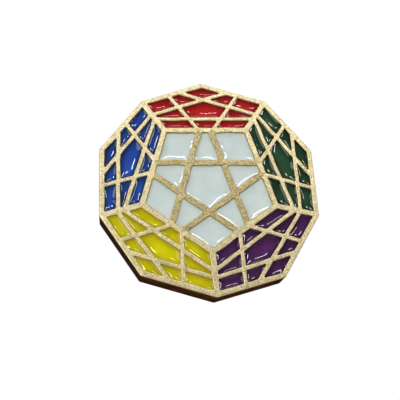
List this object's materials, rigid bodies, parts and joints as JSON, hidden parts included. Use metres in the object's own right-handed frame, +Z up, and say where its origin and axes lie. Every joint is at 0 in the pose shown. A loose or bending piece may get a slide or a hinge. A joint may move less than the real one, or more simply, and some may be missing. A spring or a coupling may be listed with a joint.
{
  "type": "enamel lapel pin with butterfly clutch",
  "caption": "Flat ten-sided lapel pin showing a twelve-sided twisty puzzle in coloured enamel between raised gold lines, with a post and a butterfly clutch.",
  "frame": {"origin": "centre of the plate's back face, on the post's axis", "axes": "+Z up as the pin is worn, the enamelled front faces -Y, the post and the clutch point along +Y, +X is to the wearer's left seen from the front right"},
  "size_m": [0.0248, 0.0108, 0.0262],
  "materials": {
    "gold_plate": "bright gold plating, sandblasted grain on the sunk surfaces",
    "enamel_white": "glossy poured soft enamel",
    "enamel_red": "glossy poured soft enamel",
    "enamel_blue": "glossy poured soft enamel",
    "enamel_yellow": "glossy poured soft enamel",
    "enamel_purple": "glossy poured soft enamel",
    "enamel_green": "glossy poured soft enamel",
    "post_gold": "plated, bright",
    "solder": "dull solder",
    "clutch_brass": "stamped, bright",
    "spring_brass": "bright spring strip"
  },
  "bodies": {
    "badge": {"badge_plate": "gold_plate", "white_enamel_centre": "enamel_white", "white_enamel_corner_1": "enamel_white", "white_enamel_corner_2": "enamel_white", "white_enamel_corner_3": "enamel_white", "white_enamel_corner_4": "enamel_white", "white_enamel_corner_5": "enamel_white", "white_enamel_edges": "enamel_white", "red_enamel_centre": "enamel_red", "red_enamel_corner_1": "enamel_red", "red_enamel_corner_2": "enamel_red", "red_enamel_corner_3": "enamel_red", "red_enamel_corner_4": "enamel_red", "red_enamel_corner_5": "enamel_red", "red_enamel_edges": "enamel_red", "blue_enamel_centre": "enamel_blue", "blue_enamel_corner_1": "enamel_blue", "blue_enamel_corner_2": "enamel_blue", "blue_enamel_corner_3": "enamel_blue", "blue_enamel_corner_4": "enamel_blue", "blue_enamel_corner_5": "enamel_blue", "blue_enamel_edges": "enamel_blue", "yellow_enamel_centre": "enamel_yellow", "yellow_enamel_corner_1": "enamel_yellow", "yellow_enamel_corner_2": "enamel_yellow", "yellow_enamel_corner_3": "enamel_yellow", "yellow_enamel_corner_4": "enamel_yellow", "yellow_enamel_corner_5": "enamel_yellow", "yellow_enamel_edges": "enamel_yellow", "purple_enamel_centre": "enamel_purple", "purple_enamel_corner_1": "enamel_purple", "purple_enamel_corner_2": "enamel_purple", "purple_enamel_corner_3": "enamel_purple", "purple_enamel_corner_4": "enamel_purple", "purple_enamel_corner_5": "enamel_purple", "purple_enamel_edges": "enamel_purple", "green_enamel_centre": "enamel_green", "green_enamel_corner_1": "enamel_green", "green_enamel_corner_2": "enamel_green", "green_enamel_corner_3": "enamel_green", "green_enamel_corner_4": "enamel_green", "green_enamel_corner_5": "enamel_green", "green_enamel_edges": "enamel_green", "post": "post_gold", "post_solder": "solder"},
    "clutch": {"clutch_cap": "clutch_brass", "clutch_spring": "spring_brass"},
    "inner_wing": {"clutch_inner_wing": "spring_brass"},
    "outer_wing": {"clutch_outer_wing": "spring_brass"}
  },
  "joints": [
    {"name": "clutch_slide", "type": "slide", "parent": "badge", "child": "clutch", "axis": [0, 1, 0], "range_m": [0, 0.012]},
    {"name": "inner_wing_pinch", "type": "hinge", "parent": "clutch", "child": "inner_wing", "pos_m": [-0.0042, 0.00167, 0], "axis": [0, 0, 1], "range_deg": [0, 8], "stiffness_Nm_per_rad": 0.1},
    {"name": "outer_wing_pinch", "type": "hinge", "parent": "clutch", "child": "outer_wing", "pos_m": [0.0042, 0.00167, 0], "axis": [0, 0, -1], "range_deg": [0, 8], "stiffness_Nm_per_rad": 0.1}
  ]
}
